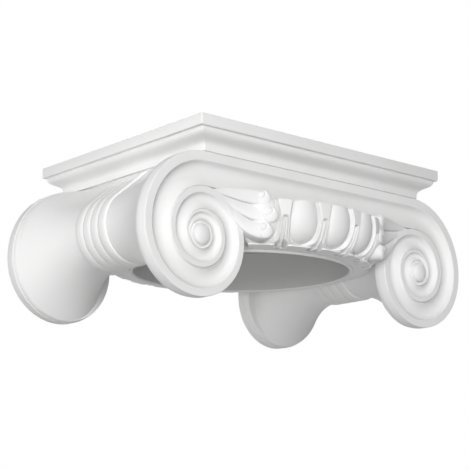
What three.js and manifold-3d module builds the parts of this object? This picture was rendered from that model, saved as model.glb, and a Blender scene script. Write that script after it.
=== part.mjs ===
// Ionic capital for a decorative column, moulded in one piece.
// Millimetres, +Z up, the two scrolled faces look along -Y and +Y.
// The origin is the middle of the outline, on the level the four volutes stand on.

import * as THREE from 'three';
import { mergeVertices } from 'three/addons/utils/BufferGeometryUtils.js';
import Module from 'manifold-3d';

const wasm = await Module();
wasm.setup();

// Abacus: the square-edged slab on top
const ABACUS_WIDTH = 300;
const ABACUS_DEPTH = 246;
const ABACUS_HEIGHT = 27.5;
const ABACUS_BAND = 10.2;       // upright band along the top edge
const ABACUS_QUIRK = 3;         // step under the band
const ABACUS_OVERHANG = 15;     // top edge beyond the bottom edge
const ABACUS_FOOT = 2.5;        // upright strip under the ogee
const OGEE_BEND = 0.6;          // share of its height over which the ogee turns

// Volutes: spirals drawn with quarter arcs, each smaller than the one before
const EYE_SPACING = 272.3;      // from eye to eye along a face
const FACE_SPACING = 212.4;     // from the front scroll face to the back one
const FIRST_ARC_RADIUS = 66.3;
const EYE_RADIUS = 12.1;        // groove round the eye
const EYE_DOME_RADIUS = 10.2;
const EYE_DOME_HEIGHT = 3;
const EYE_GROOVE = 1.2;
const QUARTER_ARCS = 10;
const VOLUTE_STRETCH = 1.025;   // taller than wide
const SPIRAL_EASE = 14.5;       // the larger, the more evenly the arcs shrink
const RIM_THICKNESS = 15;
const RIM_STEP = 1.8;           // rim beyond the bolster behind it
const CHANNEL_DEPTH = 7;
const CHANNEL_FADE = 0.7;       // how its depth follows the narrowing of the scroll
const LET_IN = 0.6;             // scrolls let into the underside of the abacus

// Bolsters: the trumpet shapes that join a front volute to a back one
const BALTEUS_RADIUS = 33;      // section at the waist
const BALTEUS_OUT = 6.8;        // waist centre beyond the eye
const BALTEUS_UP = 19;          // waist centre above the eye
const BALTEUS_WIDTH = 45;
const BALTEUS_BANDS = 4;
const BAND_HEIGHT = 2.2;
const SHOULDER_ANGLE = 130;     // where the waist runs off to the abacus, degrees
const FLARE_POWER = 2;

// Echinus: the round egg-and-dart moulding, and the neck ring under it
const ECHINUS_RADIUS = 139.5;   // at its belly
const ECHINUS_DROP = 34;        // its top edge below the abacus
const ECHINUS_BELLY = 7.5;      // widest place below the top edge
const ECHINUS_HEIGHT = 40;
const ECHINUS_CORE_RADIUS = 98; // where it runs up into the block above
const ECHINUS_ROOT = 6;         // how far it runs up there
const EGG_COUNT = 22;           // round the full circle
const EGGS_SHOWN = 5;           // between the volutes of one face
const EGG_RELIEF = 6;
const NECK_RADIUS = 117;
const NECK_EDGE = 2;            // chamfer on the socket's mouth
const SOCKET_RADIUS = 104;
const SOCKET_DEPTH = 38;

// Palmettes: three-lobed leaves between volute and eggs
const LEAF_ROOT_RADIUS = 3.2;
const LEAF_TIP_RADIUS = 7.6;
const LEAF_BED_RATIO = 5.0;     // how much deeper than proud, so that a leaf lies in its bed
const LEAF_RISE = 1.8;          // its root beyond the scroll face
const LEAF_STAND = 1.8;         // its tip beyond the belly of the echinus

// Facets
const STEPS_PER_QUARTER = 6;
const OGEE_STEPS = 8;
const FLARE_STEPS = 5;
const LEAF_SIDES = 6;
const LEAF_STEPS = 5;
const SOCKET_SIDES = 48;

const RIGHT_ANGLE = Math.PI / 2;

const direction = (angle) => new THREE.Vector2(Math.cos(angle), Math.sin(angle));
const mix = THREE.MathUtils.lerp;
const radians = THREE.MathUtils.degToRad;

// Quarter arcs of one volute round its eye, from the top of the scroll inwards
function spiralArcs() {
  const start = FIRST_ARC_RADIUS + SPIRAL_EASE;
  const shrink = ((EYE_RADIUS + SPIRAL_EASE) / start) ** (1 / QUARTER_ARCS);
  const arcs = [{ centre: new THREE.Vector2(), radius: FIRST_ARC_RADIUS }];
  for (let i = 1; i <= QUARTER_ARCS; i++) {
    const radius = start * shrink ** i - SPIRAL_EASE;
    const last = arcs[i - 1];
    const joint = direction(RIGHT_ANGLE * (i + 1));
    const centre = last.centre.clone().addScaledVector(joint, last.radius - radius);
    arcs.push({ centre, radius });
  }
  const eye = arcs[QUARTER_ARCS].centre.clone();
  arcs.forEach((arc) => arc.centre.sub(eye));
  return arcs;
}

const ARCS = spiralArcs();
const TURN = 4 * STEPS_PER_QUARTER;
const SPIRAL_STEPS = QUARTER_ARCS * STEPS_PER_QUARTER;

// Direction from the eye after some steps along the spiral, which starts at the top
const stepAngle = (step) => RIGHT_ANGLE + (step % TURN) * (RIGHT_ANGLE / STEPS_PER_QUARTER);

// Point on the spiral, in the face's plane; past its last arc it goes round the eye
function spiralPoint(step) {
  const arc = ARCS[Math.min(Math.floor(step / STEPS_PER_QUARTER), QUARTER_ARCS)];
  const point = arc.centre.clone().addScaledVector(direction(stepAngle(step)), arc.radius);
  return point.setY(point.y * VOLUTE_STRETCH);
}

// Heights and places that follow from the sizes above
const EYE_Z = -spiralPoint(TURN / 2).y;
const EYE_X = EYE_SPACING / 2;
const FACE_Y = FACE_SPACING / 2;
const SCROLL_TOP = EYE_Z + spiralPoint(0).y;
const ABACUS_UNDERSIDE = SCROLL_TOP - LET_IN;
const TOP = ABACUS_UNDERSIDE + ABACUS_HEIGHT;
const ECHINUS_TOP = ABACUS_UNDERSIDE - ECHINUS_DROP;
const NECK_UNDERSIDE = ECHINUS_TOP - ECHINUS_HEIGHT;

// Closed solid out of triangles given as corner points
function solidOf(corners) {
  const loose = new THREE.BufferGeometry().setFromPoints(corners);
  const merged = mergeVertices(loose, 1e-3);
  const index = merged.getIndex().array;
  const kept = [];
  for (let i = 0; i < index.length; i += 3) {
    const [a, b, c] = [index[i], index[i + 1], index[i + 2]];
    if (a !== b && b !== c && c !== a) kept.push(a, b, c);
  }
  return new wasm.Manifold(new wasm.Mesh({
    numProp: 3,
    vertProperties: new Float32Array(merged.getAttribute('position').array),
    triVerts: new Uint32Array(kept),
  }));
}

const quad = (a, b, c, d) => [a, b, c, a, c, d];

// The same corners seen in a mirror, turned so that faces still point out
function mirrored(corners, signX, signY) {
  const scale = new THREE.Vector3(signX, signY, 1);
  const moved = corners.map((corner) => corner.clone().multiply(scale));
  if (signX * signY < 0) {
    for (let i = 0; i < moved.length; i += 3) [moved[i], moved[i + 1]] = [moved[i + 1], moved[i]];
  }
  return moved;
}

// Flat polygon cut into triangles, seen from the side that flat() maps it to
function cap(ring, flat, reverse) {
  const faces = THREE.ShapeUtils.triangulateShape(ring.map(flat), []);
  return faces.flatMap(([a, b, c]) => (reverse ? [a, c, b] : [a, b, c]).map((i) => ring[i]));
}

// Skin between rings with equally many points, closed at both ends
function loft(rings, flat) {
  const corners = [];
  for (let k = 0; k + 1 < rings.length; k++) {
    const [here, next] = [rings[k], rings[k + 1]];
    here.forEach((point, i) => {
      const j = (i + 1) % here.length;
      corners.push(...quad(point, next[i], next[j], here[j]));
    });
  }
  corners.push(...cap(rings[0], flat, false), ...cap(rings.at(-1), flat, true));
  return corners;
}

// Abacus: level rectangles down an edge profile of band, quirk, ogee and foot
function abacus() {
  const ogeeTop = new THREE.Vector2(ABACUS_QUIRK, -ABACUS_BAND);
  const ogeeFoot = new THREE.Vector2(ABACUS_OVERHANG, ABACUS_FOOT - ABACUS_HEIGHT);
  const bend = (ogeeTop.y - ogeeFoot.y) * OGEE_BEND;
  const ogee = new THREE.CubicBezierCurve(
    ogeeTop,
    new THREE.Vector2(ogeeTop.x, ogeeTop.y - bend),
    new THREE.Vector2(ogeeFoot.x, ogeeFoot.y + bend),
    ogeeFoot,
  );
  const profile = [
    new THREE.Vector2(0, 0),
    new THREE.Vector2(0, -ABACUS_BAND),
    ...ogee.getPoints(OGEE_STEPS),
    new THREE.Vector2(ABACUS_OVERHANG, -ABACUS_HEIGHT),
  ];
  const corner = [[1, 1], [-1, 1], [-1, -1], [1, -1]];
  const rings = profile.map(({ x: inset, y: drop }) => corner.map(([sx, sy]) => new THREE.Vector3(
    sx * (ABACUS_WIDTH / 2 - inset),
    sy * (ABACUS_DEPTH / 2 - inset),
    TOP + drop,
  )));
  return loft(rings, (p) => new THREE.Vector2(p.x, p.y));
}

// Section of the scroll from the outer edge of a turn (0) to the next turn (1):
// flat fillet, steep wall, then a hollow that rises to the next fillet
const SCROLL_SECTION = [[0, 0], [0.29, 0], [0.37, 0.9], [0.58, 1], [0.97, 0.3], [1, 0]];
const FIRST_WIDTH = spiralPoint(0).distanceTo(spiralPoint(TURN));

// Point of the left front scroll's relief, across being one entry of the section
function scrollPoint(step, [across, depth]) {
  const outer = spiralPoint(step);
  const inner = spiralPoint(step + TURN);
  const width = outer.distanceTo(inner);
  const flat = across < 1 ? outer.lerp(inner, across) : inner;
  const sink = CHANNEL_DEPTH * depth * (width / FIRST_WIDTH) ** CHANNEL_FADE;
  return new THREE.Vector3(flat.x - EYE_X, sink - FACE_Y, flat.y + EYE_Z);
}

const scrollColumn = (step) => SCROLL_SECTION.map((entry) => scrollPoint(step, entry));
const acrossFromIt = (point) => new THREE.Vector3(-point.x, point.y, point.z);
const atDepth = (point, y) => new THREE.Vector3(point.x, y, point.z);
const faceOn = (p) => new THREE.Vector2(p.x, p.z);

// Relief of the left front volute: the coiled section and the eye
function voluteRelief() {
  const corners = [];
  for (let i = 0; i < SPIRAL_STEPS; i++) {
    const [here, next] = [scrollColumn(i), scrollColumn(i + 1)];
    for (let j = 0; j + 1 < here.length; j++) {
      corners.push(...quad(here[j], next[j], next[j + 1], here[j + 1]));
    }
  }
  return [...corners, ...eye()];
}

// One scrolled face: two volutes joined by the straight canalis, as a board with a flat back
function scrollBoard() {
  const relief = voluteRelief();
  const left = scrollColumn(0);
  const right = left.map(acrossFromIt);
  const corners = [...relief, ...mirrored(relief, -1, 1)];
  for (let j = 0; j + 1 < left.length; j++) {
    corners.push(...quad(left[j], left[j + 1], right[j + 1], right[j]));
  }
  const edge = [];
  for (let i = 0; i <= TURN; i++) edge.push(scrollColumn(i)[0]);
  const outline = [...edge, ...edge.toReversed().map(acrossFromIt)];
  const back = RIM_THICKNESS - FACE_Y;
  outline.forEach((point, i) => {
    const next = outline[(i + 1) % outline.length];
    corners.push(...quad(point, atDepth(point, back), atDepth(next, back), next));
  });
  return [...corners, ...cap(outline.map((point) => atDepth(point, back)), faceOn, true)];
}

// Eye: a groove and a low dome, each ring a share of the eye's own outline
function eye() {
  const edge = EYE_DOME_RADIUS / EYE_RADIUS;
  const dome = [0, 0.6, 1].map((rise) => [edge * Math.sqrt(1 - rise ** 2), -EYE_DOME_HEIGHT * rise]);
  const rings = [[1, 0], [(1 + edge) / 2, EYE_GROOVE], ...dome];
  const corners = [];
  for (let i = SPIRAL_STEPS; i < SPIRAL_STEPS + TURN; i++) {
    const [here, next] = [i, i + 1].map((step) => rings.map(([share, sink]) => {
      const flat = spiralPoint(step).multiplyScalar(share);
      return new THREE.Vector3(flat.x - EYE_X, sink - FACE_Y, flat.y + EYE_Z);
    }));
    for (let j = 0; j + 1 < rings.length; j++) {
      corners.push(...quad(here[j], next[j], next[j + 1], here[j + 1]));
    }
  }
  return corners;
}

// Block between the two scrolled faces, down to the echinus
function block() {
  const top = scrollColumn(0)[0];
  const low = scrollColumn(TURN)[0];
  const ring = [[1, 1], [-1, 1], [-1, -1], [1, -1]].map(([sx, sy]) => new THREE.Vector3(
    sx * -low.x,
    sy * (FACE_Y - RIM_THICKNESS / 2),
    top.z,
  ));
  const foot = ring.map((point) => new THREE.Vector3(point.x, point.y, ECHINUS_TOP - LET_IN));
  return loft([ring, foot], (p) => new THREE.Vector2(p.x, p.y));
}

// Left bolster: waist section at the balteus, the volute's outline at both ends
function bolster() {
  const end = FACE_Y - RIM_THICKNESS;
  const half = BALTEUS_WIDTH / 2;
  const stations = [];
  for (let i = 0; i <= FLARE_STEPS; i++) {
    const y = mix(end, half, i / FLARE_STEPS);
    stations.push({ y, flare: ((y - half) / (end - half)) ** FLARE_POWER, swell: 0 });
  }
  stations.unshift({ y: end + RIM_THICKNESS / 3, flare: 1, swell: 0 });
  const bands = [];
  for (let i = 1; i < BALTEUS_BANDS * 2; i++) {
    bands.push({ y: half - i * half / BALTEUS_BANDS, flare: 0, swell: (i % 2) * BAND_HEIGHT });
  }
  const far = stations.map((station) => ({ ...station, y: -station.y })).reverse();
  const rings = [...stations, ...bands, ...far].map(bolsterRing).reverse();
  return loft(rings, faceOn);
}

// Its section runs from the top round to where it meets the block, then straight up
const BOLSTER_STEPS = TURN - STEPS_PER_QUARTER / 2;

function bolsterRing({ y, flare, swell }) {
  const waist = new THREE.Vector2(-BALTEUS_OUT, BALTEUS_UP);
  const shoulder = radians(SHOULDER_ANGLE);
  const radius = BALTEUS_RADIUS + swell;
  const ring = [];
  for (let i = 0; i <= BOLSTER_STEPS; i++) {
    const angle = RIGHT_ANGLE + i * (RIGHT_ANGLE / STEPS_PER_QUARTER);
    const narrow = waist.clone().addScaledVector(direction(Math.max(angle, shoulder)), radius);
    if (angle < shoulder) {
      const rise = SCROLL_TOP - EYE_Z - narrow.y;
      const run = (shoulder - angle) / (shoulder - RIGHT_ANGLE);
      const slope = direction(shoulder - RIGHT_ANGLE);
      narrow.addScaledVector(slope, run * rise / slope.y);
    }
    const wide = spiralPoint(i).addScaledVector(direction(angle), -RIM_STEP);
    const flat = narrow.lerp(wide, flare);
    ring.push(new THREE.Vector3(flat.x - EYE_X, y, flat.y + EYE_Z));
  }
  ring.push(new THREE.Vector3(ring.at(-1).x, y, ring[0].z));
  return ring;
}

// Egg-and-dart: heights are shares of the echinus from its top, places are pitches from the
// middle of an egg, and relief is a share of EGG_RELIEF, with 1 on the echinus's own profile
const ECHINUS_ROWS = [0, 0.36, 0.42, 0.66, 0.84, 0.93, 1];
const EGG_END = 0.9;
const CUP_END = 0.935;
const CUP_TOP_SHARE = 0.33;     // half the cup in which an egg lies, at the top
const CUP_BELLY_SHARE = 0.395;
const CUP_RIM_SHARE = 0.06;
const CUP_FOOT_SHARE = 0.31;    // half the cup's foot on the neck ring
const EGG_GAP_SHARE = 0.035;    // between an egg and its cup
const DART_TOP = 0.36;
const DART_SHARE = 0.035;
const DART_FOOT_SHARE = 0.06;
const SMALLEST_SHARE = 0.02;
const GROOVE = 0.15;            // reliefs
const CROWN = 1.15;
const PLAIN = 0.6;
const EGG_FLANK = { place: 0.6, rise: 0.85 }; // a point between an egg's crown and its edge

const rounded = (down, end) => (1 - Math.min(down / end, 1) ** 8) ** 0.25;

// Half a pitch at one height: places and reliefs from the middle of the egg to the dart
function halfPitch(down) {
  const belly = mix(CUP_TOP_SHARE, CUP_BELLY_SHARE, Math.min(2 * down, 1));
  const egg = Math.max((belly - EGG_GAP_SHARE) * rounded(down, EGG_END), SMALLEST_SHARE);
  const cup = Math.max(belly * rounded(down, CUP_END), egg + EGG_GAP_SHARE);
  const rim = down < CUP_END ? belly + CUP_RIM_SHARE : CUP_FOOT_SHARE;
  const dart = mix(DART_SHARE, DART_FOOT_SHARE, Math.max(down - DART_TOP, 0) / (1 - DART_TOP));
  const hollow = down < 1 ? GROOVE : 1;
  const crown = down < EGG_END ? mix(1, CROWN, Math.sin(Math.PI * (down / EGG_END))) : hollow;
  const slot = down > DART_TOP ? GROOVE : 1;
  const slotEdge = Math.min(rim, 0.5 - dart - SMALLEST_SHARE);
  return [
    [0, crown],
    [egg * EGG_FLANK.place, mix(hollow, crown, EGG_FLANK.rise)],
    [egg, hollow],
    [cup, 1],
    [slotEdge - SMALLEST_SHARE, 1],
    [slotEdge, slot],
    [0.5 - dart, slot],
    [0.5, 1],
  ];
}

// Angles and reliefs round the echinus at one height: eggs under each face, plain sides
function echinusRow(down) {
  const half = halfPitch(down);
  const pitch = [...half.slice(1, -1).reverse().map(([place, relief]) => [-place, relief]), ...half];
  const shown = (EGGS_SHOWN - 1) / 2;
  const plain = EGG_COUNT / 2 - EGGS_SHOWN;
  const row = [];
  for (const facing of [-EGG_COUNT / 4, EGG_COUNT / 4]) {
    for (let egg = -shown; egg <= shown; egg++) {
      row.push(...pitch.map(([place, relief]) => [facing + egg + place, relief]));
    }
    for (let i = 1; i <= plain; i++) {
      row.push([facing + shown + 0.5 + i, i < plain ? PLAIN : 1]);
    }
  }
  return row.map(([place, relief]) => [place * ((2 * Math.PI) / EGG_COUNT), relief]);
}

function onRing(angle, radius, z) {
  return new THREE.Vector3(radius * Math.cos(angle), radius * Math.sin(angle), z);
}

// Radius of the echinus at a height, without its carving
function echinusRadius(down) {
  const below = (down * ECHINUS_HEIGHT - ECHINUS_BELLY) / (ECHINUS_HEIGHT - ECHINUS_BELLY);
  return NECK_RADIUS + (ECHINUS_RADIUS - NECK_RADIUS) * Math.sqrt(1 - below ** 2);
}

function echinus() {
  const rings = ECHINUS_ROWS.map((down) => echinusRow(down).map(([angle, relief]) => onRing(
    angle,
    echinusRadius(down) + (relief - 1) * EGG_RELIEF,
    ECHINUS_TOP - ECHINUS_HEIGHT * down,
  )));
  const core = [ECHINUS_TOP + ECHINUS_ROOT, ECHINUS_TOP]
    .map((z) => echinusRow(0).map(([angle]) => onRing(angle, ECHINUS_CORE_RADIUS, z)));
  return loft([...core, ...rings], (p) => new THREE.Vector2(p.x, p.y));
}

// Palmette lobes. Root and bend: from the eye, in first arc radii. Tip: pitches round the
// echinus from its middle egg and share down its height.
const LOBES = [
  { root: [0.198, 0.612], bend: [0.56, 0.669], tip: [1.985, 0.034] },
  { root: [0.311, 0.567], bend: [0.764, 0.409], tip: [1.818, 0.401] },
  { root: [0.47, 0.466], bend: [0.64, 0.149], tip: [1.961, 0.765] },
];

// One lobe: a leaf that widens to a blunt end, from the scroll face onto the echinus
function lobe({ root, bend, tip }) {
  const onFace = ([across, up], size) => new THREE.Vector3(
    across * FIRST_ARC_RADIUS - EYE_X,
    size - FACE_Y - LEAF_RISE,
    up * FIRST_ARC_RADIUS + EYE_Z,
  );
  const tipAngle = -RIGHT_ANGLE - tip[0] * ((2 * Math.PI) / EGG_COUNT);
  const tipRadius = ECHINUS_RADIUS + LEAF_STAND - LEAF_TIP_RADIUS;
  const path = new THREE.QuadraticBezierCurve3(
    onFace(root, LEAF_ROOT_RADIUS),
    onFace(bend, mix(LEAF_ROOT_RADIUS, LEAF_TIP_RADIUS, 0.5)),
    onRing(tipAngle, tipRadius, ECHINUS_TOP - ECHINUS_HEIGHT * tip[1]),
  );
  const rings = [];
  for (let i = 0; i <= LEAF_STEPS + 1; i++) {
    const ending = i > LEAF_STEPS;
    const s = Math.min(i / LEAF_STEPS, 1);
    const centre = path.getPoint(s);
    const along = path.getTangent(s);
    const side = new THREE.Vector3(0, 1, 0).cross(along).normalize();
    const inward = along.clone().cross(side);
    const width = mix(LEAF_ROOT_RADIUS, LEAF_TIP_RADIUS, s);
    const size = ending ? width / 2 : width;
    if (ending) centre.addScaledVector(along, Math.sqrt(width ** 2 - size ** 2));
    rings.push(Array.from({ length: LEAF_SIDES }, (_, k) => {
      const around = direction((2 * Math.PI * k) / LEAF_SIDES);
      const deep = around.y > 0 ? LEAF_BED_RATIO : 1;
      return centre.clone()
        .addScaledVector(side, size * around.x)
        .addScaledVector(inward, size * deep * around.y);
    }));
  }
  return loft(rings.reverse(), (p) => new THREE.Vector2(p.y, p.z));
}

// Socket for the column's shaft, with a chamfered mouth
function socket() {
  const below = NECK_UNDERSIDE - NECK_EDGE;
  const profile = [
    [0, below],
    [SOCKET_RADIUS + 2 * NECK_EDGE, below],
    [SOCKET_RADIUS, NECK_UNDERSIDE + NECK_EDGE],
    [SOCKET_RADIUS, NECK_UNDERSIDE + SOCKET_DEPTH],
    [0, NECK_UNDERSIDE + SOCKET_DEPTH],
  ].map(([radius, z]) => new THREE.Vector2(radius, z));
  const lathe = new THREE.LatheGeometry(profile, SOCKET_SIDES);
  lathe.rotateX(RIGHT_ANGLE);
  const flat = lathe.toNonIndexed().getAttribute('position');
  return Array.from({ length: flat.count }, (_, i) => new THREE.Vector3().fromBufferAttribute(flat, i));
}

const SIDES = [[1, 1], [-1, 1], [1, -1], [-1, -1]];
const everywhere = (corners) => SIDES.map(([sx, sy]) => mirrored(corners, sx, sy));
const frontAndBack = (corners) => [corners, mirrored(corners, 1, -1)];
const leftAndRight = (corners) => [corners, mirrored(corners, -1, 1)];

const added = [
  ...frontAndBack(scrollBoard()),
  block(),
  ...leftAndRight(bolster()),
  echinus(),
  ...LOBES.flatMap((shape) => everywhere(lobe(shape))),
];
const whole = added.map(solidOf)
  .reduce((sum, solid) => sum.add(solid), solidOf(abacus()))
  .subtract(solidOf(socket()));

const { vertProperties, triVerts } = whole.getMesh();
const geometry = new THREE.BufferGeometry();
geometry.setAttribute('position', new THREE.BufferAttribute(new Float32Array(vertProperties), 3));
geometry.setIndex(new THREE.BufferAttribute(new Uint32Array(triVerts), 1));
geometry.computeVertexNormals();

const plaster = new THREE.MeshStandardMaterial({ color: 0xf2f1ef, roughness: 0.55, metalness: 0 });
const capital = new THREE.Mesh(geometry, plaster);
capital.name = 'ionic_capital';

const model = new THREE.Group();
model.add(capital);

export default model;
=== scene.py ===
# Ionic capital for a decorative column, moulded in one piece and primed white.
# Metres, +Z up, the two scrolled faces look along -Y and +Y.

import math

import bmesh
import bpy
import numpy as np
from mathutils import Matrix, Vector


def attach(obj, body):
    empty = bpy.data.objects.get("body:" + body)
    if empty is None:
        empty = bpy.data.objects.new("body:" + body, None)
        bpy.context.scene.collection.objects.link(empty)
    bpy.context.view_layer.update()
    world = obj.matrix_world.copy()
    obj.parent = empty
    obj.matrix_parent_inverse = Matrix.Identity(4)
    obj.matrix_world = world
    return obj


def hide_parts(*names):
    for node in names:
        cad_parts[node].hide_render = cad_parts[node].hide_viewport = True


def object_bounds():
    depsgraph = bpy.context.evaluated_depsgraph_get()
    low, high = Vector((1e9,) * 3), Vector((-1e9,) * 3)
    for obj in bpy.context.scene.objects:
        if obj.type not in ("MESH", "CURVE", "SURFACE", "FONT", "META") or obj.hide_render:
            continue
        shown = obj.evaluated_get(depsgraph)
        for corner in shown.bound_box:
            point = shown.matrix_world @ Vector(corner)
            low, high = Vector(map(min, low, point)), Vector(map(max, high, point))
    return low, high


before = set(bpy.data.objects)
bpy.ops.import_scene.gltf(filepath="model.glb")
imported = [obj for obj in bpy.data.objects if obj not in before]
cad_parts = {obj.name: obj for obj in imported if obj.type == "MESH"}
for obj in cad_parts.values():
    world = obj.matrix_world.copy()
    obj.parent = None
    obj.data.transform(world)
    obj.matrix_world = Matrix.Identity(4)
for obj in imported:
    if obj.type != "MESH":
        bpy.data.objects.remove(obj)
cad_low, cad_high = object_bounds()

MM = 0.001
NODE = "ionic_capital"

# Abacus: the square-edged slab on top
ABACUS_WIDTH = 300 * MM
ABACUS_DEPTH = 246 * MM
ABACUS_HEIGHT = 27.5 * MM
ABACUS_BAND = 10.2 * MM
ABACUS_QUIRK = 3 * MM
ABACUS_OVERHANG = 15 * MM
ABACUS_FOOT = 2.5 * MM
OGEE_BEND = 0.6

# Volutes: spirals drawn with quarter arcs, each smaller than the one before
EYE_SPACING = 272.3 * MM
FACE_SPACING = 212.4 * MM
FIRST_ARC_RADIUS = 66.3 * MM
EYE_RADIUS = 12.1 * MM
EYE_DOME_RADIUS = 8.9 * MM
EYE_DOME_HEIGHT = 4.6 * MM
EYE_GROOVE = 2.2 * MM
QUARTER_ARCS = 10
VOLUTE_STRETCH = 1.025
SPIRAL_EASE = 14.5 * MM
RIM_THICKNESS = 15 * MM
RIM_FLAT = 10 * MM
RIM_EDGE = 0.6 * MM
RIM_STEP = 1.8 * MM
INNER_STEP = 8 * MM
CHANNEL_DEPTH = 7 * MM
CHANNEL_FADE = 0.7
LET_IN = 0.6 * MM

# Bolsters: the trumpet shapes that join a front volute to a back one
BALTEUS_RADIUS = 33 * MM
BALTEUS_OUT = 6.8 * MM
BALTEUS_UP = 19 * MM
BALTEUS_WIDTH = 45 * MM
BALTEUS_BANDS = 4
BAND_HEIGHT = 1.8 * MM
BAND_FLATNESS = 4
SHOULDER_ANGLE = 130
FLARE_POWER = 2

# Echinus: the round egg-and-dart moulding, and the neck ring under it
ECHINUS_RADIUS = 139.5 * MM
ECHINUS_BELLY = 7.5 * MM
ECHINUS_DROP = 34 * MM
ECHINUS_HEIGHT = 40 * MM
ECHINUS_CORE_RADIUS = 98 * MM
ECHINUS_ROOT = 6 * MM
EGG_COUNT = 22
EGGS_SHOWN = 5
EGG_RELIEF = 6 * MM
NECK_RADIUS = 117 * MM
LIP_RADIUS = 2 * MM
LIP_OVERLAP = 0.02
SOCKET_RADIUS = 104 * MM
SOCKET_DEPTH = 38 * MM

# Palmettes: three-lobed leaves between volute and eggs. In each lobe's curl a groove winds
# out round a bead; where it starts, how far it grows and its width are in bead radii.
LEAF_ROOT_RADIUS = 0.8 * MM
LEAF_TIP_RADIUS = 7 * MM
LEAF_BED_RATIO = 5
LEAF_FRONT_RATIO = 0.42
LEAF_BLUNTNESS = 0.8
LEAF_END_SINK = 1.4 * MM
LEAF_RISE = 1.8 * MM
CURL_RADIUS = 7.2 * MM
CURL_STAND = 1.5 * MM
CURL_BOWL = 0.45
CURL_GROOVE = 2.4 * MM
CURL_GROOVE_WIDTH = 0.28
CURL_GROOVE_FADE = 0.8
CURL_GROOVE_START = 1.1
CURL_GROOVE_GROWTH = 0.4
CURL_START = math.radians(95)
BEAD_RADIUS = 2.7 * MM
BEAD_SINK = 0.9
BEAD_SHIFT = (-2 * MM, 3.1 * MM)

# Fineness and wear of the surfaces
STEPS_PER_QUARTER = 24
ARRIS = 0.9 * MM
CORNER = 1.2 * MM

TURN = 4 * STEPS_PER_QUARTER
SPIRAL_STEPS = QUARTER_ARCS * STEPS_PER_QUARTER


def direction(angle):
    """Unit vectors in a plane."""
    return np.stack([np.cos(angle), np.sin(angle)], axis=-1)


# Spiral

def spiral_arcs():
    """Centres and radii of one volute's quarter arcs round its eye, from the top inwards."""
    start = FIRST_ARC_RADIUS + SPIRAL_EASE
    shrink = ((EYE_RADIUS + SPIRAL_EASE) / start) ** (1 / QUARTER_ARCS)
    radii = start * shrink ** np.arange(QUARTER_ARCS + 1) - SPIRAL_EASE
    centres = [np.zeros(2)]
    for i in range(1, QUARTER_ARCS + 1):
        joint = direction(math.pi / 2 * (i + 1))
        centres.append(centres[-1] + joint * (radii[i - 1] - radii[i]))
    return np.array(centres) - centres[-1], radii


ARC_CENTRES, ARC_RADII = spiral_arcs()


def step_angle(steps):
    """Direction from the eye after some steps along the spiral, which starts at the top."""
    return math.pi / 2 + (np.asarray(steps) % TURN) * (math.pi / 2 / STEPS_PER_QUARTER)


def spiral_points(steps):
    """Points in the face's plane; past the last arc they go round the eye."""
    steps = np.asarray(steps)
    arc = np.minimum(steps // STEPS_PER_QUARTER, QUARTER_ARCS)
    points = ARC_CENTRES[arc] + ARC_RADII[arc][..., None] * direction(step_angle(steps))
    return points * [1, VOLUTE_STRETCH]


EYE_Z = -spiral_points(TURN // 2)[1]
EYE_X = EYE_SPACING / 2
FACE_Y = FACE_SPACING / 2
SCROLL_TOP = EYE_Z + spiral_points(0)[1]
ABACUS_UNDERSIDE = SCROLL_TOP - LET_IN
TOP = ABACUS_UNDERSIDE + ABACUS_HEIGHT
ECHINUS_TOP = ABACUS_UNDERSIDE - ECHINUS_DROP
NECK_UNDERSIDE = ECHINUS_TOP - ECHINUS_HEIGHT


# Meshes

class Skin:
    """Faces of one closed solid, given as sheets of corners that meet edge to edge."""

    def __init__(self):
        self.corners = []
        self.faces = []

    def sheet(self, rows):
        """Quads between neighbouring points of a grid, rows of equally many points."""
        rows = np.asarray(rows, dtype=float)
        n, m = rows.shape[:2]
        first = len(self.corners)
        self.corners.extend(rows.reshape(-1, 3).tolist())
        for i in range(n - 1):
            for j in range(m - 1):
                a = first + i * m + j
                self.faces.append((a, a + 1, a + m + 1, a + m))

    def ring_cap(self, ring):
        """One flat face round a closed ring."""
        first = len(self.corners)
        self.corners.extend(np.asarray(ring, dtype=float).tolist())
        self.faces.append(tuple(range(first, first + len(ring))))

    def loft(self, rings):
        """Skin between closed rings of equally many points, with a flat face at both ends."""
        rings = np.asarray(rings, dtype=float)
        self.sheet(np.concatenate([rings, rings[:, :1]], axis=1))
        self.ring_cap(rings[0])
        self.ring_cap(rings[-1])

    def copies(self, signs):
        """One mesh that holds the skin mirrored by each pair of signs along X and Y."""
        mesh = bpy.data.meshes.new("skin")
        corners = np.array(self.corners)
        all_corners = []
        all_faces = []
        for sx, sy in signs:
            shift = len(all_corners)
            all_corners.extend((corners * [sx, sy, 1]).tolist())
            all_faces.extend(tuple(k + shift for k in face) for face in self.faces)
        mesh.from_pydata(all_corners, [], all_faces)
        return closed(mesh)


def closed(mesh):
    """The mesh with its seams welded and every face turned outwards."""
    bm = bmesh.new()
    bm.from_mesh(mesh)
    bmesh.ops.remove_doubles(bm, verts=bm.verts, dist=1e-6)
    bmesh.ops.dissolve_degenerate(bm, dist=1e-7, edges=bm.edges)
    bmesh.ops.triangulate(bm, faces=[f for f in bm.faces if len(f.verts) > 4])
    bmesh.ops.recalc_face_normals(bm, faces=bm.faces)
    bm.to_mesh(mesh)
    bm.free()
    return mesh


HERE = [(1, 1)]
FRONT_AND_BACK = [(1, 1), (1, -1)]
LEFT_AND_RIGHT = [(1, 1), (-1, 1)]
EVERYWHERE = [(1, 1), (-1, 1), (1, -1), (-1, -1)]


def bezier(points, shares):
    """Points of a Bezier curve of any degree."""
    shares = np.asarray(shares, dtype=float)[:, None]
    layer = [np.asarray(p, dtype=float)[None, :] for p in points]
    while len(layer) > 1:
        layer = [a * (1 - shares) + b * shares for a, b in zip(layer, layer[1:])]
    return layer[0] * np.ones_like(shares)


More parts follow.
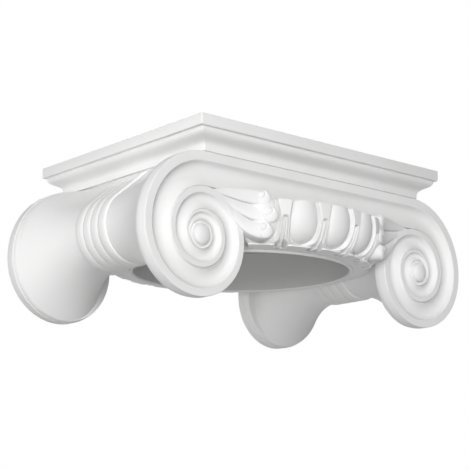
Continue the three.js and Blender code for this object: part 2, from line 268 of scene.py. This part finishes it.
def smooth(low, high, values):
    """Share from 0 at low to 1 at high, with soft ends."""
    share = np.clip((np.asarray(values, dtype=float) - low) / (high - low), 0, 1)
    return share * share * (3 - 2 * share)


def blend(start, end, share):
    """The number that lies this share of the way from start to end."""
    return start + (end - start) * float(share)


# Abacus

def abacus():
    """Level rectangles down an edge profile of band, quirk, ogee and foot."""
    ogee_top = np.array([ABACUS_QUIRK, -ABACUS_BAND])
    ogee_foot = np.array([ABACUS_OVERHANG, ABACUS_FOOT - ABACUS_HEIGHT])
    bend = (ogee_top[1] - ogee_foot[1]) * OGEE_BEND
    ogee = bezier(
        [ogee_top, ogee_top - [0, bend], ogee_foot + [0, bend], ogee_foot],
        np.linspace(0, 1, 25),
    )
    quarter = np.linspace(0, math.pi / 2, 4)
    top_edge = np.stack([ARRIS * (1 - np.sin(quarter)), ARRIS * (np.cos(quarter) - 1)], axis=1)
    low_edge = np.stack(
        [ARRIS * (1 - np.cos(quarter)), ARRIS * (1 - np.sin(quarter)) - ABACUS_BAND], axis=1
    )
    profile = np.concatenate([
        top_edge,
        low_edge,
        ogee,
        [[ABACUS_OVERHANG, -ABACUS_HEIGHT]],
    ])
    rings = []
    for inset, drop in profile:
        half = [ABACUS_WIDTH / 2 - inset, ABACUS_DEPTH / 2 - inset]
        rings.append([
            [sx * (half[0] - CORNER), sy * (half[1] - CORNER), TOP + drop]
            + CORNER * np.append(direction(turn), 0)
            for sx, sy, start in ((1, 1, 0), (-1, 1, 1), (-1, -1, 2), (1, -1, 3))
            for turn in math.pi / 2 * (start + np.linspace(0, 1, 5))
        ])
    skin = Skin()
    skin.loft(rings)
    return skin.copies(HERE)


# Scrolled faces

def scroll_section():
    """Shares of the way across and of the channel's depth, from one turn's outer edge to
    the next turn's: fillet, steep wall, hollow, small step."""
    wall = bezier([[0.27, 0], [0.315, 0], [0.33, 0.95], [0.56, 1]], np.linspace(0, 1, 11))
    hollow = bezier([[0.56, 1], [0.75, 1.02], [0.88, 0.55], [0.965, 0.3]], np.linspace(0, 1, 9))
    step = [[0.972, 0.26], [0.982, 0.09], [0.99, 0.03], [1, 0]]
    return np.concatenate([[[0, 0], [0.01, 0], [0.026, 0]], wall, hollow[1:], step])


SECTION = scroll_section()
FIRST_WIDTH = np.linalg.norm(spiral_points(0) - spiral_points(TURN))


def arris_wear(steps):
    """How far the arris is rounded off; it fades out where the spiral meets the eye."""
    return ARRIS * (1 - smooth(SPIRAL_STEPS - STEPS_PER_QUARTER, SPIRAL_STEPS, steps))


def scroll_relief(steps):
    """Grid of the left front scroll's relief, a row of section points for each step."""
    outer = spiral_points(steps)[:, None, :]
    inner = spiral_points(np.asarray(steps) + TURN)[:, None, :]
    width = np.linalg.norm(outer - inner, axis=2)
    across = SECTION[None, :, 0, None]
    flat = np.where(across < 1, outer * (1 - across) + inner * across, inner)
    sink = CHANNEL_DEPTH * SECTION[None, :, 1] * (width / FIRST_WIDTH) ** CHANNEL_FADE
    sink[:, 0] += arris_wear(steps)
    sink[:, 1] += arris_wear(steps) / 4
    sink[:, -1] += arris_wear(np.asarray(steps) + TURN)
    return np.stack([flat[..., 0] - EYE_X, sink - FACE_Y, flat[..., 1] + EYE_Z], axis=2)


def eye_relief(steps):
    """Groove and dome, each ring a share of the eye's own outline."""
    edge = EYE_DOME_RADIUS / EYE_RADIUS
    across = np.linspace(0, math.pi, 9)[1:-1]
    dome = np.linspace(0, math.pi / 2, 11)
    shares = [1]
    sinks = [0]
    shares += list(edge + (1 - edge) * (0.5 + 0.45 * np.cos(across)))
    sinks += list(EYE_GROOVE * (0.5 + 0.5 * np.sin(across)))
    shares.append(edge)
    sinks.append(0.3 * EYE_GROOVE)
    shares += list(edge * np.cos(dome[1:]))
    sinks += list(-EYE_DOME_HEIGHT * np.sin(dome[1:]))
    flat = spiral_points(steps)[:, None, :] * np.array(shares)[None, :, None]
    sink = np.broadcast_to(np.array(sinks), flat.shape[:2])
    return np.stack([flat[..., 0] - EYE_X, sink - FACE_Y, flat[..., 1] + EYE_Z], axis=2)


def rim_profile():
    """Places back from the face and insets: a flat rim whose rear edge is rounded."""
    quarter = np.linspace(0, math.pi / 2, 7)
    round_part = RIM_THICKNESS - RIM_FLAT
    back = [ARRIS, RIM_FLAT - RIM_EDGE, RIM_FLAT, RIM_FLAT]
    inset = [0, 0, 0.25 * RIM_STEP, 0.3 * RIM_STEP]
    back += list(RIM_FLAT + round_part * np.sin(quarter[1:]))
    inset += list(RIM_STEP * (0.3 + 0.9 * (1 - np.cos(quarter[1:]))))
    return list(zip(back, inset))


def scroll_board():
    """One scrolled face: two volutes joined by the straight canalis, with a flat back."""
    relief = scroll_relief(np.arange(SPIRAL_STEPS + 1))
    eye = eye_relief(np.arange(SPIRAL_STEPS, SPIRAL_STEPS + TURN + 1))
    across = np.array([-1, 1, 1])
    skin = Skin()
    skin.sheet(relief)
    skin.sheet(relief * across)
    skin.sheet(eye)
    skin.sheet(eye * across)
    skin.sheet([relief[0], relief[0] * across])
    steps = np.arange(TURN + 1)
    edge = relief[: TURN + 1, 0]
    outward = direction(step_angle(steps))
    # The rim's step fades out at both ends of this turn, under the abacus and the canalis
    fade = 1 - smooth(0.75 * TURN, 0.9 * TURN, steps)
    fade *= smooth(0, 0.04 * TURN, steps)
    rings = []
    for back, inset in rim_profile():
        moved = edge.copy()
        moved[:, 0] -= outward[:, 0] * inset * fade
        moved[:, 1] = back - FACE_Y
        moved[:, 2] -= outward[:, 1] * inset * fade
        rings.append(np.concatenate([moved, moved[::-1] * across]))
    rings = np.array(rings)
    skin.sheet(np.concatenate([rings, rings[:, :1]], axis=1))
    skin.ring_cap(rings[-1])
    return skin.copies(FRONT_AND_BACK)


def block():
    """Block between the two scrolled faces, down to the echinus."""
    reach = -scroll_relief([TURN])[0, 0, 0]
    corner = np.array([[1, 1], [-1, 1], [-1, -1], [1, -1]])
    half = [reach, FACE_Y - RIM_THICKNESS / 2]
    ring = [[sx * half[0], sy * half[1], SCROLL_TOP] for sx, sy in corner]
    foot = [[x, y, ECHINUS_TOP - LET_IN] for x, y, _ in ring]
    skin = Skin()
    skin.loft([ring, foot])
    return skin.copies(HERE)


# Bolsters

def bolster_ring(y, flare, swell):
    """Ring at one depth, between the round waist (flare 0) and the volute's outline (1)."""
    waist = np.array([-BALTEUS_OUT, BALTEUS_UP])
    shoulder = math.radians(SHOULDER_ANGLE)
    radius = BALTEUS_RADIUS + swell
    steps = np.arange(TURN - STEPS_PER_QUARTER // 2 + 1)
    angle = math.pi / 2 + steps * (math.pi / 2 / STEPS_PER_QUARTER)
    narrow = waist + radius * direction(np.maximum(angle, shoulder))
    rise = SCROLL_TOP - EYE_Z - narrow[0, 1]
    run = np.clip((shoulder - angle) / (shoulder - math.pi / 2), 0, 1)
    slope = direction(shoulder - math.pi / 2)
    narrow = narrow + run[:, None] * slope * (rise / slope[1])
    step_in = RIM_STEP * smooth(0, STEPS_PER_QUARTER, steps)
    step_in += INNER_STEP * smooth(2 * STEPS_PER_QUARTER, 3 * STEPS_PER_QUARTER, steps)
    wide = spiral_points(steps) - step_in[:, None] * direction(angle)
    flat = narrow * (1 - flare) + wide * flare
    ring = [[x - EYE_X, y, z + EYE_Z] for x, z in flat]
    return ring + [[ring[-1][0], y, ring[0][2]]]


def bolster():
    """Left bolster: rolls round the waist, then a trumpet up to the back of each volute."""
    end = FACE_Y - RIM_THICKNESS
    half = BALTEUS_WIDTH / 2
    stations = [(end + RIM_THICKNESS / 3, 1, 0)]
    for y in np.linspace(end, half, 20):
        stations.append((y, ((y - half) / (end - half)) ** FLARE_POWER, 0))
    bands = []
    band = BALTEUS_WIDTH / BALTEUS_BANDS
    bow = np.sin(np.linspace(-math.pi / 2, math.pi / 2, 9))
    for i in range(BALTEUS_BANDS):
        middle = half - band * (i + 0.5)
        for share in bow[1:]:
            swell = BAND_HEIGHT * math.sqrt(1 - abs(share) ** BAND_FLATNESS)
            bands.append((middle - share * band / 2, 0, swell))
    bands.pop()
    far = [(-y, flare, swell) for y, flare, swell in reversed(stations)]
    skin = Skin()
    skin.loft([bolster_ring(*station) for station in stations + bands + far])
    return skin.copies(LEFT_AND_RIGHT)


# Echinus: heights are shares of it from its top, or a start and end of those. Places are
# pitches from the middle of an egg. Relief is a share of EGG_RELIEF, with 1 on the
# echinus's own profile.

EGG_END = 0.9
EGG_GAP_SHARE = 0.04
EGG_MIDDLE = 0.5
EGG_TAPER = 0.66
CROWN = 1.08
CUP_END = 0.935
CUP_BELLY = 0.6
CUP_TOP_SHARE = 0.33
CUP_BELLY_SHARE = 0.395
CUP_RIM_SHARE = 0.06
CUP_FOOT = 0.8
CUP_FOOT_SHARE = 0.31
GROOVE = 0.1
GROOVE_END = (CUP_END - 0.01, CUP_END + 0.01)
DART_TOP = 0.35
DART_ARCH = 0.07
DART_WIDENS = (0.5, 1)
DART_SHARE = 0.05
DART_FOOT_SHARE = 0.07
DART_EDGE = 0.3
SLOT_OPENS = (DART_TOP, DART_TOP + 0.03)
RIDGE_RISES = (DART_TOP + 0.02, DART_TOP + 0.07)
DART_GROOVE = 0.3
DART_FOOT_GROOVE = -1.2
NOTCH_DEEPENS = (0.82, 0.93)
NOTCH_SHUTS = (0.985, 0.995)
SMALLEST_SHARE = 0.012
PLAIN = 0.6
PLAIN_STEPS = 4
FOOT_OUT = 8.5 * MM
FOOT_END = 0.975
PITCH = 2 * math.pi / EGG_COUNT


def rounded(down, end):
    """Share of full width: straight sides that close in a round end."""
    return (1 - min(down / end, 1) ** 8) ** 0.25


def egg_outline(down):
    """Half width of an egg, as a share of its widest."""
    if down < EGG_MIDDLE:
        return math.sqrt(1 - (EGG_TAPER * (1 - down / EGG_MIDDLE)) ** 2)
    below = min((down - EGG_MIDDLE) / (EGG_END - EGG_MIDDLE), 1)
    return (1 - below ** 2.6) ** (1 / 2.2)


def half_pitch(down):
    """Places and reliefs from the middle of an egg to the dart, at one height."""
    belly = blend(CUP_TOP_SHARE, CUP_BELLY_SHARE, smooth(0, CUP_BELLY, down))
    egg = max((CUP_BELLY_SHARE - EGG_GAP_SHARE) * egg_outline(down), SMALLEST_SHARE)
    cup = max(belly * rounded(down, CUP_END), egg + EGG_GAP_SHARE)
    rim = blend(belly + CUP_RIM_SHARE, CUP_FOOT_SHARE, smooth(CUP_FOOT, 1, down))
    rim = max(rim, cup + 2 * SMALLEST_SHARE)

    # The slot has an arched top, holds the dart, and is a deep notch at its foot
    dart = blend(DART_SHARE, DART_FOOT_SHARE, smooth(*DART_WIDENS, down))
    slot_edge = min(rim, 0.5 - dart - 2 * SMALLEST_SHARE)
    arch = math.sqrt(min(max(down - DART_TOP, 0) / DART_ARCH, 1))
    slot_edge = blend(slot_edge, 0.5 - DART_EDGE * dart, 0.8 * (1 - arch))
    dart = min(dart, 0.5 - slot_edge - SMALLEST_SHARE)
    groove = blend(DART_GROOVE, DART_FOOT_GROOVE, smooth(*NOTCH_DEEPENS, down))
    open_slot = float(smooth(*SLOT_OPENS, down))
    at_neck = 1 - FOOT_OUT / EGG_RELIEF * (1 - float(smooth(FOOT_END, 1, down)))
    slot = blend(1 - (1 - groove) * open_slot, at_neck, smooth(*NOTCH_SHUTS, down))
    buried = 1 - float(smooth(*RIDGE_RISES, down))
    ridge = 1 - (1 - groove) * open_slot * buried

    # The egg's crown fades into the groove round it, and that into the rim
    hollow = blend(GROOVE, 1, smooth(*GROOVE_END, down))
    full = max(1 - (down / EGG_END) ** 7, 0) ** 0.5
    bulge = 1 + (CROWN - 1) * math.sin(math.pi * min(down / EGG_END, 1))
    crown = blend(hollow, bulge, full)
    places, reliefs = [], []

    def add(place, relief):
        places.append(place)
        reliefs.append(relief)

    for turn in np.linspace(0, 1, 12) * math.pi / 2:
        add(egg * math.sin(turn), blend(hollow, crown, math.cos(turn)))
    add(egg + (cup - egg) * 0.3, hollow)
    add(cup, 0.9)
    add(cup + (slot_edge - cup) * 0.2, 1)
    add(cup + (slot_edge - cup) * 0.8, 1)
    add(slot_edge, 1 - 0.15 * open_slot)
    add(slot_edge + 0.6 * SMALLEST_SHARE, slot)
    add(0.5 - dart, slot)
    add(0.5 - DART_EDGE * dart, blend(slot, ridge, 0.85))
    add(0.5, ridge)
    return places, reliefs


def echinus_row(down):
    """Angles and reliefs round the echinus: eggs under each face, plain sides."""
    places, reliefs = half_pitch(down)
    left = [-place for place in places[1:-1]][::-1]
    one_place = np.array(left + places)
    one_relief = reliefs[1:-1][::-1] + reliefs
    shown = (EGGS_SHOWN - 1) // 2
    plain = PLAIN_STEPS * (EGG_COUNT // 2 - EGGS_SHOWN)
    row_places, row_reliefs = [], []
    for facing in (-EGG_COUNT / 4, EGG_COUNT / 4):
        for egg in range(-shown, shown + 1):
            row_places.extend(facing + egg + one_place)
            row_reliefs.extend(one_relief)
        for i in range(1, plain + 1):
            row_places.append(facing + shown + 0.5 + i / PLAIN_STEPS)
            row_reliefs.append(PLAIN if i < plain else reliefs[-1])
    return np.array(row_places) * PITCH, np.array(row_reliefs)


def echinus_radius(down):
    """Radius at a height, without the carving."""
    below = (down * ECHINUS_HEIGHT - ECHINUS_BELLY) / (ECHINUS_HEIGHT - ECHINUS_BELLY)
    bulge = NECK_RADIUS + (ECHINUS_RADIUS - NECK_RADIUS) * math.sqrt(max(1 - below ** 2, 0))
    foot = NECK_RADIUS + FOOT_OUT * (1 - float(smooth(FOOT_END, 1, down)))
    return max(bulge, foot)


def echinus():
    """Round moulding with eggs, cups and darts under each face."""
    rows = np.concatenate([
        np.linspace(0, DART_TOP, 9),
        np.linspace(DART_TOP, DART_TOP + 0.12, 9)[1:],
        np.linspace(DART_TOP + 0.12, 0.8, 11)[1:],
        np.linspace(0.8, 1, 17)[1:],
    ])
    rings = []
    for down in rows:
        angles, reliefs = echinus_row(down)
        radius = echinus_radius(down) + (reliefs - 1) * EGG_RELIEF
        z = np.full(len(angles), ECHINUS_TOP - ECHINUS_HEIGHT * down)
        rings.append(np.column_stack([radius[:, None] * direction(angles), z]))
    core = direction(echinus_row(0)[0]) * ECHINUS_CORE_RADIUS
    top = [
        np.column_stack([core, np.full(len(core), z)])
        for z in (ECHINUS_TOP + ECHINUS_ROOT, ECHINUS_TOP)
    ]
    skin = Skin()
    skin.loft(top + rings)
    return skin.copies(HERE)


# Palmette lobes. Root and bend: from the eye, in first arc radii. Tip: pitches round the
# echinus from its middle egg and share down its height.
LOBES = [
    {"root": (0.198, 0.612), "bend": (0.58, 0.63), "middle": 6.4 * MM, "tip": (2.012, 0)},
    {"root": (0.311, 0.567), "bend": (0.764, 0.38), "middle": 8.2 * MM, "tip": (1.847, 0.365)},
    {"root": (0.47, 0.466), "bend": (0.7, 0.16), "middle": 7.8 * MM, "tip": (1.972, 0.725)},
]


def on_echinus(tip, across, sink, up):
    """Points near a lobe's tip: across and up the echinus, and sunk into it."""
    angle = -math.pi / 2 - tip[0] * PITCH
    outward = direction(angle)
    rightward = direction(angle + math.pi / 2)
    across, sink, up = np.broadcast_arrays(across, sink, up)
    stand = ECHINUS_RADIUS + CURL_STAND - sink
    level = stand[..., None] * outward + across[..., None] * rightward
    return np.concatenate(
        [level, (ECHINUS_TOP - ECHINUS_HEIGHT * tip[1] + up)[..., None]], axis=-1
    )


def lobe(shape):
    """A leaf that widens from the scroll face to its curl on the echinus."""
    def on_face(place, size, rise):
        across, up = place
        return np.array([
            across * FIRST_ARC_RADIUS - EYE_X,
            LEAF_FRONT_RATIO * size - FACE_Y - rise,
            up * FIRST_ARC_RADIUS + EYE_Z,
        ])

    end = on_echinus(shape["tip"], 0, LEAF_END_SINK + LEAF_FRONT_RATIO * LEAF_TIP_RADIUS, 0)
    path = [
        on_face(shape["root"], LEAF_ROOT_RADIUS, -ARRIS),
        on_face(shape["bend"], shape["middle"], LEAF_RISE),
        end,
    ]
    shares = np.linspace(0, 1, 24)
    centres = bezier(path, shares)
    heading = bezier([b - a for a, b in zip(path, path[1:])], shares)
    heading /= np.linalg.norm(heading, axis=1)[:, None]
    side = np.cross([0, 1, 0], heading)
    side /= np.linalg.norm(side, axis=1)[:, None]
    inward = np.cross(heading, side)
    half = bezier([[LEAF_ROOT_RADIUS], [shape["middle"]], [LEAF_TIP_RADIUS]], shares)[:, 0]
    around = np.linspace(0, 2 * math.pi, 28, endpoint=False)
    wide = np.cos(around)
    tall = np.where(
        np.sin(around) > 0,
        LEAF_BED_RATIO * np.sin(around),
        -LEAF_FRONT_RATIO * np.abs(np.sin(around)) ** LEAF_BLUNTNESS,
    )
    rings = [
        centre + size * (wide[:, None] * across + tall[:, None] * deep)
        for centre, size, across, deep in zip(centres, half, side, inward)
    ]
    skin = Skin()
    skin.loft(rings)
    return skin.copies(EVERYWHERE)


def curl(shape):
    """Round end of a lobe: a low dome with a groove that turns about the bead."""
    angles = np.linspace(0, 2 * math.pi, 60, endpoint=False)
    shares = np.sin(np.linspace(0, 1, 29)[1:] ** 1.15 * math.pi / 2)
    rings = []
    for share in shares:
        ring = CURL_RADIUS * share * direction(angles) + (1 - share) * np.array(BEAD_SHIFT)
        across = ring - BEAD_SHIFT
        apart = np.hypot(across[:, 0], across[:, 1]) / BEAD_RADIUS
        turned = (np.arctan2(across[:, 1], across[:, 0]) - CURL_START) % (2 * math.pi)
        turned /= 2 * math.pi
        winding = CURL_GROOVE_START + CURL_GROOVE_GROWTH * turned
        off_groove = (apart - winding) / CURL_GROOVE_WIDTH
        groove = np.exp(-off_groove ** 2) * (1 - CURL_GROOVE_FADE * turned)
        bowl = CURL_BOWL * CURL_RADIUS * (1 - math.sqrt(max(1 - share ** 3, 0)))
        sink = bowl + CURL_GROOVE * groove
        rings.append(on_echinus(shape["tip"], ring[:, 0], sink, ring[:, 1]))
    depth = LEAF_BED_RATIO * LEAF_TIP_RADIUS
    rings.append(on_echinus(shape["tip"], ring[:, 0], depth, ring[:, 1]))
    skin = Skin()
    skin.loft(rings)
    return skin.copies(EVERYWHERE)


def bead(shape):
    """Small ball in a lobe's curl."""
    around = direction(np.linspace(0, 2 * math.pi, 20, endpoint=False))
    rings = []
    for slope in np.linspace(-math.pi / 2, math.pi / 2, 13)[1:-1]:
        ring = BEAD_RADIUS * math.cos(slope) * around
        across, up = (ring + BEAD_SHIFT).T
        sink = BEAD_RADIUS * (BEAD_SINK + math.sin(slope))
        rings.append(on_echinus(shape["tip"], across, sink, up))
    skin = Skin()
    skin.loft(rings)
    return skin.copies(EVERYWHERE)


# Socket

def socket():
    """Hollow for the column's shaft."""
    profile = [
        [SOCKET_RADIUS, NECK_UNDERSIDE - 2 * LIP_RADIUS],
        [SOCKET_RADIUS, NECK_UNDERSIDE + SOCKET_DEPTH],
    ]
    around = direction(np.linspace(0, 2 * math.pi, 160, endpoint=False))
    rings = [np.column_stack([around * r, np.full(len(around), z)]) for r, z in profile]
    skin = Skin()
    skin.loft(rings)
    return skin.copies(HERE)


def neck_lip():
    """Small round bead on the neck's underside, along the socket's mouth."""
    around = direction(np.linspace(0, 2 * math.pi, 160, endpoint=False))
    section = direction(np.linspace(0, 2 * math.pi, 16, endpoint=False))
    rows = []
    for side in around:
        radius = SOCKET_RADIUS + LIP_RADIUS * (1 - LIP_OVERLAP + section[:, 0])
        rows.append(np.column_stack([
            radius[:, None] * side,
            NECK_UNDERSIDE + LIP_RADIUS * section[:, 1],
        ]))
    rows = np.array(rows)
    rows = np.concatenate([rows, rows[:, :1]], axis=1)
    rows = np.concatenate([rows, rows[:1]])
    skin = Skin()
    skin.sheet(rows)
    return skin.copies(HERE)


# Joining

def joined(meshes, cutters):
    """One solid: the union of the meshes, less the cutters."""
    scene = bpy.context.scene
    whole = bpy.data.objects.new("capital", meshes[0])
    scene.collection.objects.link(whole)
    steps = [(mesh, "UNION") for mesh in meshes[1:]]
    steps += [(mesh, "DIFFERENCE") for mesh in cutters]
    for mesh, operation in steps:
        other = bpy.data.objects.new("operand", mesh)
        scene.collection.objects.link(other)
        boolean = whole.modifiers.new("join", "BOOLEAN")
        boolean.operation = operation
        boolean.object = other
        boolean.solver = "MANIFOLD"
        depsgraph = bpy.context.evaluated_depsgraph_get()
        result = bpy.data.meshes.new_from_object(whole.evaluated_get(depsgraph))
        whole.modifiers.clear()
        whole.data = result
        bpy.data.objects.remove(other)
    return whole


solids = [abacus(), scroll_board(), block(), bolster(), echinus()]
for shape in LOBES:
    solids += [lobe(shape), curl(shape), bead(shape)]
capital = joined(solids + [neck_lip()], [socket()])


# Finish

SHARP_EDGE = math.radians(24)
COAT_DARK = (0.80, 0.80, 0.795, 1)
COAT_LIGHT = (0.835, 0.835, 0.832, 1)
# Darker grey painted into the socket as painted shade for its deep hollow.
SOCKET_SHADE_COLOUR = (0.58, 0.58, 0.575, 1)
CLOUD_SCALE = 9
PEEL_SCALE = 900
PEEL_DEPTH = 0.06 * MM


def shade_and_mark(mesh):
    """Smooth shading between sharp arrises; the socket's faces are marked for painted shade."""
    socket_shade = mesh.attributes.new("socket_shade", "FLOAT", "FACE")
    for polygon in mesh.polygons:
        polygon.use_smooth = True
        place = polygon.center
        # Faces inside the socket are marked for the painted shade.
        in_depth = 0 < place.z - NECK_UNDERSIDE < SOCKET_DEPTH + LET_IN
        if in_depth and math.hypot(place.x, place.y) < SOCKET_RADIUS + LET_IN:
            socket_shade.data[polygon.index].value = 1
    mesh.set_sharp_from_angle(angle=SHARP_EDGE)


def plaster():
    """Primed white moulding with a fine orange-peel skin; its socket is painted darker grey as
    painted shade.
    """
    material = bpy.data.materials.new("primed_white")
    material.use_nodes = True
    nodes, links = material.node_tree.nodes, material.node_tree.links
    shader = nodes["Principled BSDF"]
    shader.inputs["IOR"].default_value = 1.48
    place = nodes.new("ShaderNodeTexCoord")
    cloud = nodes.new("ShaderNodeTexNoise")
    cloud.inputs["Scale"].default_value = CLOUD_SCALE
    cloud.inputs["Detail"].default_value = 4
    links.new(place.outputs["Object"], cloud.inputs["Vector"])
    tint = nodes.new("ShaderNodeValToRGB")
    tint.color_ramp.elements[0].position = 0.35
    tint.color_ramp.elements[0].color = COAT_DARK
    tint.color_ramp.elements[1].position = 0.65
    tint.color_ramp.elements[1].color = COAT_LIGHT
    links.new(cloud.outputs["Fac"], tint.inputs["Fac"])
    # Painted shade: the socket's marked faces are mixed to a darker grey.
    core = nodes.new("ShaderNodeAttribute")
    core.attribute_name = "socket_shade"
    coat_or_shade = nodes.new("ShaderNodeMix")
    coat_or_shade.data_type = "RGBA"
    coat_or_shade.inputs["B"].default_value = SOCKET_SHADE_COLOUR
    links.new(core.outputs["Fac"], coat_or_shade.inputs["Factor"])
    links.new(tint.outputs["Color"], coat_or_shade.inputs["A"])
    links.new(coat_or_shade.outputs["Result"], shader.inputs["Base Color"])
    sheen = nodes.new("ShaderNodeMapRange")
    sheen.inputs["To Min"].default_value = 0.5
    sheen.inputs["To Max"].default_value = 0.62
    links.new(cloud.outputs["Fac"], sheen.inputs["Value"])
    links.new(sheen.outputs["Result"], shader.inputs["Roughness"])
    peel = nodes.new("ShaderNodeTexNoise")
    peel.inputs["Scale"].default_value = PEEL_SCALE
    peel.inputs["Detail"].default_value = 3
    links.new(place.outputs["Object"], peel.inputs["Vector"])
    bump = nodes.new("ShaderNodeBump")
    bump.inputs["Strength"].default_value = 0.25
    bump.inputs["Distance"].default_value = PEEL_DEPTH
    links.new(peel.outputs["Fac"], bump.inputs["Height"])
    links.new(bump.outputs["Normal"], shader.inputs["Normal"])
    return material


shade_and_mark(capital.data)
capital.name = "moulded_capital"
capital.data.name = "moulded_capital"
capital.data.materials.clear()
capital.data.materials.append(plaster())
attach(capital, "root")
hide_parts(NODE)


# Studio

WHITE = (1, 1, 1, 1)
FLOOR_LEVEL = -0.9
FLOOR_SIZE = 12
FLOOR_COLOUR = (0.8, 0.8, 0.8, 1)
FLOOR_GLOW = 0.8
SKY_LIGHT = 0.22
SOFTBOXES = [
    {"name": "key", "place": (-1.45, -1.85, 0.45), "size": 1.2, "power": 37},
    {"name": "side", "place": (-1.9, 1.3, 0.25), "size": 1.2, "power": 13},
    {"name": "low", "place": (-1.5, -1.3, -0.7), "size": 1.0, "power": 13},
    {"name": "back", "place": (1.3, 1.9, 1.2), "size": 1.4, "power": 38},
]


def floor():
    """Pale floor under the object, below the camera's view."""
    bpy.ops.mesh.primitive_plane_add(size=FLOOR_SIZE, location=(0, 0, FLOOR_LEVEL))
    plane = bpy.context.object
    plane.name = "floor"
    pale = bpy.data.materials.new("pale_floor")
    pale.use_nodes = True
    shader = pale.node_tree.nodes["Principled BSDF"]
    shader.inputs["Base Color"].default_value = FLOOR_COLOUR
    shader.inputs["Roughness"].default_value = 0.9
    shader.inputs["Emission Color"].default_value = WHITE
    shader.inputs["Emission Strength"].default_value = FLOOR_GLOW
    plane.data.materials.append(pale)
    plane.visible_diffuse = False


def softbox(name, place, size, power):
    """Square lamp that faces the object's middle."""
    data = bpy.data.lights.new(name, "AREA")
    data.size = size
    data.energy = power
    lamp = bpy.data.objects.new(name, data)
    lamp.location = place
    lamp.rotation_mode = "QUATERNION"
    aim = Vector((cad_low + cad_high) / 2) - Vector(place)
    lamp.rotation_quaternion = aim.to_track_quat("-Z", "Y")
    bpy.context.scene.collection.objects.link(lamp)


def sky():
    """Weak even light from all round; seen directly, it's plain white."""
    world = bpy.data.worlds.new("studio")
    world.use_nodes = True
    nodes, links = world.node_tree.nodes, world.node_tree.links
    even_light = nodes["Background"]
    even_light.inputs["Color"].default_value = WHITE
    even_light.inputs["Strength"].default_value = SKY_LIGHT
    backdrop = nodes.new("ShaderNodeBackground")
    backdrop.inputs["Color"].default_value = WHITE
    seen = nodes.new("ShaderNodeLightPath")
    either = nodes.new("ShaderNodeMixShader")
    links.new(seen.outputs["Is Camera Ray"], either.inputs["Fac"])
    links.new(even_light.outputs["Background"], either.inputs[1])
    links.new(backdrop.outputs["Background"], either.inputs[2])
    links.new(either.outputs["Shader"], nodes["World Output"].inputs["Surface"])
    bpy.context.scene.world = world


floor()
for box in SOFTBOXES:
    softbox(**box)
sky()
bpy.context.scene.view_settings.view_transform = "Standard"

# Camera: below the object, looking up at its left front corner, as in the photo
CAMERA_PLACE = (-0.84644, -0.97428, -0.18827)
CAMERA_TURN = math.radians(40.73)
CAMERA_TILT = math.radians(12.12)
CAMERA_LENS = 104.25
CAMERA_SENSOR = 36

camera_data = bpy.data.cameras.new("camera")
camera_data.lens = CAMERA_LENS
camera_data.sensor_width = CAMERA_SENSOR
camera = bpy.data.objects.new("camera", camera_data)
camera.location = CAMERA_PLACE
heading = Vector((
    math.sin(CAMERA_TURN) * math.cos(CAMERA_TILT),
    math.cos(CAMERA_TURN) * math.cos(CAMERA_TILT),
    math.sin(CAMERA_TILT),
))
camera.rotation_mode = "QUATERNION"
camera.rotation_quaternion = heading.to_track_quat("-Z", "Y")
bpy.context.scene.collection.objects.link(camera)
bpy.context.scene.camera = camera
